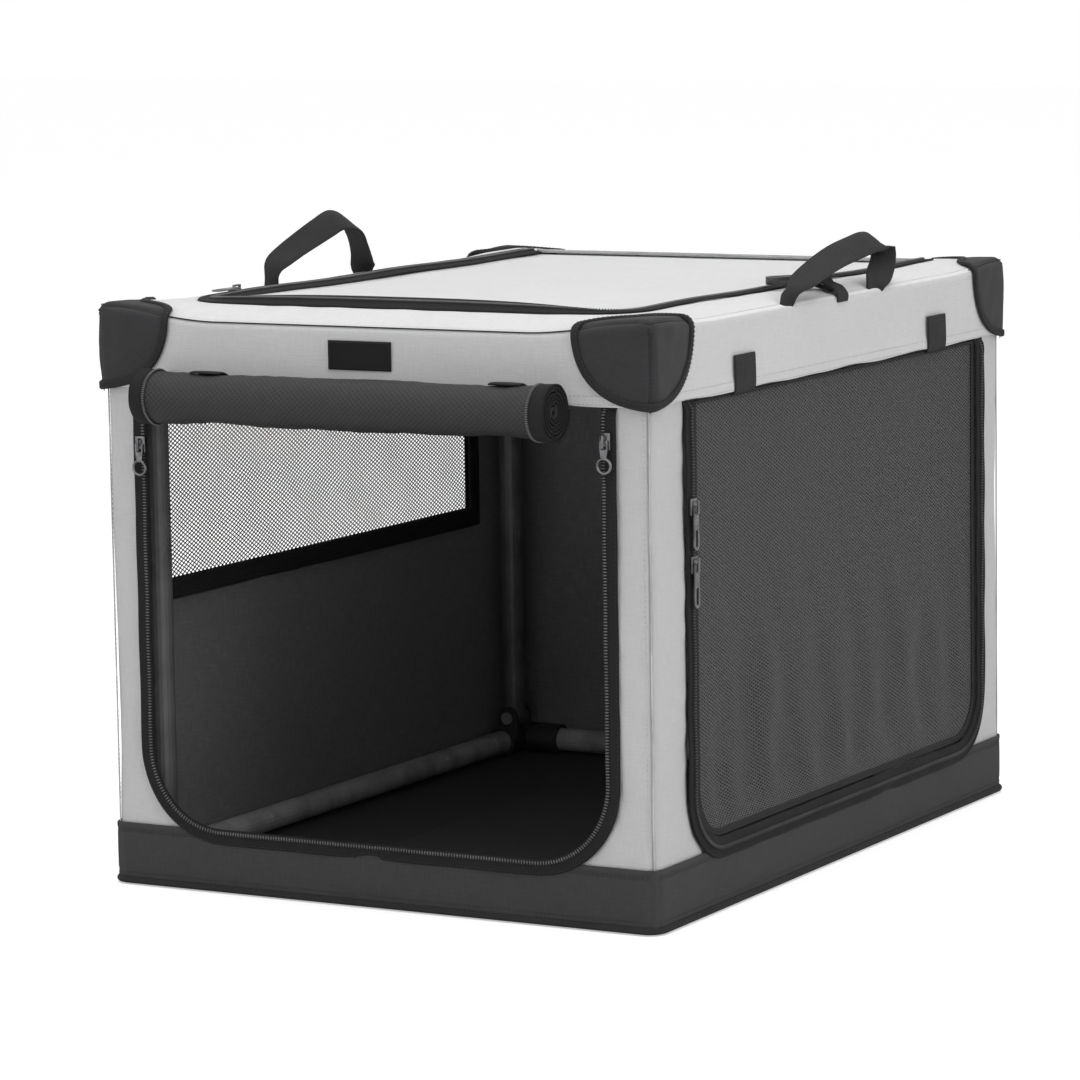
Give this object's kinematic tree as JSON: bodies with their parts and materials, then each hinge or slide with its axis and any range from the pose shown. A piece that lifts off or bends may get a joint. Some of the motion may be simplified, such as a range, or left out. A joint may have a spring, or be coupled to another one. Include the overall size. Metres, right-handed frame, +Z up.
{
  "type": "soft folding dog crate",
  "caption": "Soft fabric dog crate on a folding tube frame, with a rolled-up front door, a zipped mesh side door, a zipped roof door and carry handles on the roof.",
  "frame": {"origin": "centre of the floor's underside", "axes": "+Z up, -Y towards the rolled-up front door, +X towards the zipped mesh side door"},
  "size_m": [0.4653, 0.6555, 0.4856],
  "materials": {
    "light_cloth": "matte",
    "roof_cloth": "matte",
    "dark_cloth": "matte",
    "webbing": "matte",
    "mesh": "matte",
    "zip_tape": "matte",
    "painted_tube": "satin",
    "joint_plastic": "matte",
    "gunmetal": "satin",
    "rivet_steel": "satin",
    "clip_plastic": "satin"
  },
  "bodies": {
    "base": {"base_tray": "dark_cloth", "base_tube_front": "painted_tube", "base_tube_back": "painted_tube", "base_tube_left": "painted_tube", "base_tube_right": "painted_tube", "base_bracket_front_left": "joint_plastic", "base_bracket_front_right": "joint_plastic", "base_bracket_back_left": "joint_plastic", "base_bracket_back_right": "joint_plastic", "pivot_pin_front_left": "rivet_steel", "pivot_pin_front_right": "rivet_steel", "pivot_pin_back_left": "rivet_steel", "pivot_pin_back_right": "rivet_steel", "front_panel": "light_cloth", "back_panel": "light_cloth", "left_panel": "light_cloth", "window_mesh": "mesh", "front_zip": "zip_tape"},
    "top": {"roof_tube_front": "painted_tube", "roof_tube_back": "painted_tube", "roof_tube_left": "painted_tube", "roof_tube_right": "painted_tube", "top_joint_front_left": "joint_plastic", "top_joint_front_right": "joint_plastic", "top_joint_back_left": "joint_plastic", "top_joint_back_right": "joint_plastic", "top_cover": "roof_cloth", "top_zip": "zip_tape", "corner_patch_front_left": "dark_cloth", "corner_patch_front_right": "dark_cloth", "corner_patch_back_left": "dark_cloth", "corner_patch_back_right": "dark_cloth", "blank_label": "dark_cloth", "door_tab_front": "webbing", "door_tab_back": "webbing", "handle_left": "webbing", "handle_right": "webbing", "clip_tab": "webbing"},
    "post_front_left": {"post_front_left": "painted_tube"},
    "post_front_right": {"post_front_right": "painted_tube"},
    "post_back_left": {"post_back_left": "painted_tube"},
    "post_back_right": {"post_back_right": "painted_tube"},
    "right_wall": {"right_panel": "light_cloth", "side_zip": "zip_tape"},
    "side_door": {"side_door": "mesh"},
    "top_door": {"top_door": "roof_cloth"},
    "front_roll": {"front_roll": "mesh", "roll_strap_left": "webbing", "roll_strap_right": "webbing"},
    "clip": {"safety_clip": "clip_plastic"},
    "slider_front_left": {"zip_slider_front_left": "gunmetal"},
    "slider_front_right": {"zip_slider_front_right": "gunmetal"},
    "slider_side_upper": {"zip_slider_side_upper": "gunmetal"},
    "slider_side_lower": {"zip_slider_side_lower": "gunmetal"},
    "slider_roof": {"zip_slider_roof": "gunmetal"},
    "pull_front_left": {"zip_pull_front_left": "gunmetal"},
    "pull_front_right": {"zip_pull_front_right": "gunmetal"},
    "pull_side_upper": {"zip_pull_side_upper": "gunmetal"},
    "pull_side_lower": {"zip_pull_side_lower": "gunmetal"},
    "pull_roof": {"zip_pull_roof": "gunmetal"}
  },
  "joints": [
    {"name": "collapse", "type": "slide", "parent": "base", "child": "top", "axis": [0, 0, 1], "range_m": [-0.3, 0], "deforming": ["front_panel", "back_panel", "left_panel", "window_mesh", "front_zip", "right_panel", "side_zip", "side_door"]},
    {"name": "post_front_left_fold", "type": "hinge", "parent": "base", "child": "post_front_left", "pos_m": [-0.2055, -0.2679, 0.0363], "axis": [0, 1, 0], "range_deg": [0, 90.1]},
    {"name": "post_front_right_fold", "type": "hinge", "parent": "base", "child": "post_front_right", "pos_m": [0.2055, -0.2484, 0.0363], "axis": [0, -1, 0], "range_deg": [0, 90.1]},
    {"name": "post_back_left_fold", "type": "hinge", "parent": "base", "child": "post_back_left", "pos_m": [-0.2055, 0.2679, 0.0363], "axis": [0, 1, 0], "range_deg": [0, 90.1]},
    {"name": "post_back_right_fold", "type": "hinge", "parent": "base", "child": "post_back_right", "pos_m": [0.2055, 0.2484, 0.0363], "axis": [0, -1, 0], "range_deg": [0, 90.1]},
    {"name": "right_wall_drop", "type": "slide", "parent": "base", "child": "right_wall", "axis": [0, 0, 1], "range_m": [-0.211, 0]},
    {"name": "side_door_swing", "type": "hinge", "parent": "top", "child": "side_door", "pos_m": [0.2267, 0, 0.3714], "axis": [0, -1, 0], "range_deg": [0, 110]},
    {"name": "top_door_swing", "type": "hinge", "parent": "top", "child": "top_door", "pos_m": [0, 0.262, 0.432], "axis": [-1, 0, 0], "range_deg": [0, 170]},
    {"name": "front_roll_swing", "type": "hinge", "parent": "top", "child": "front_roll", "pos_m": [0, -0.305, 0.372], "axis": [-1, 0, 0], "range_deg": [0, 35]},
    {"name": "clip_lift", "type": "hinge", "parent": "top", "child": "clip", "pos_m": [0.2115, 0.004, 0.43855], "axis": [-0.809, 0.5878, 0], "range_deg": [0, 60]},
    {"name": "slider_front_left_slide", "type": "slide", "parent": "top", "child": "slider_front_left", "axis": [0, 0, -1], "range_m": [0, 0.21]},
    {"name": "slider_front_right_slide", "type": "slide", "parent": "top", "child": "slider_front_right", "axis": [0, 0, -1], "range_m": [0, 0.23]},
    {"name": "slider_side_upper_slide", "type": "slide", "parent": "right_wall", "child": "slider_side_upper", "axis": [0, 0, 1], "range_m": [0, 0.06]},
    {"name": "slider_side_lower_slide", "type": "slide", "parent": "right_wall", "child": "slider_side_lower", "axis": [0, 0, -1], "range_m": [0, 0.14]},
    {"name": "slider_roof_slide", "type": "slide", "parent": "top", "child": "slider_roof", "axis": [0, 1, 0], "range_m": [0, 0.4]},
    {"name": "pull_front_left_swing", "type": "hinge", "parent": "slider_front_left", "child": "pull_front_left", "pos_m": [-0.193, -0.3091, 0.33], "axis": [-1, 0, 0], "range_deg": [0, 80]},
    {"name": "pull_front_right_swing", "type": "hinge", "parent": "slider_front_right", "child": "pull_front_right", "pos_m": [0.193, -0.3091, 0.348], "axis": [-1, 0, 0], "range_deg": [0, 120]},
    {"name": "pull_side_upper_swing", "type": "hinge", "parent": "slider_side_upper", "child": "pull_side_upper", "pos_m": [0.2326, -0.247, 0.297], "axis": [0, -1, 0], "range_deg": [0, 120]},
    {"name": "pull_side_lower_swing", "type": "hinge", "parent": "slider_side_lower", "child": "pull_side_lower", "pos_m": [0.2326, -0.247, 0.256], "axis": [0, -1, 0], "range_deg": [0, 120]},
    {"name": "pull_roof_swing", "type": "hinge", "parent": "slider_roof", "child": "pull_roof", "pos_m": [-0.182, -0.18864, 0.4361], "axis": [-1, 0, 0], "range_deg": [0, 150]}
  ],
  "couplings": [
    {"joint": "post_front_left_fold", "follows": "collapse", "rad_per_m": -5.236},
    {"joint": "post_front_right_fold", "follows": "collapse", "rad_per_m": -5.236},
    {"joint": "post_back_left_fold", "follows": "collapse", "rad_per_m": -5.236},
    {"joint": "post_back_right_fold", "follows": "collapse", "rad_per_m": -5.236},
    {"joint": "right_wall_drop", "follows": "collapse", "ratio": 0.7}
  ]
}
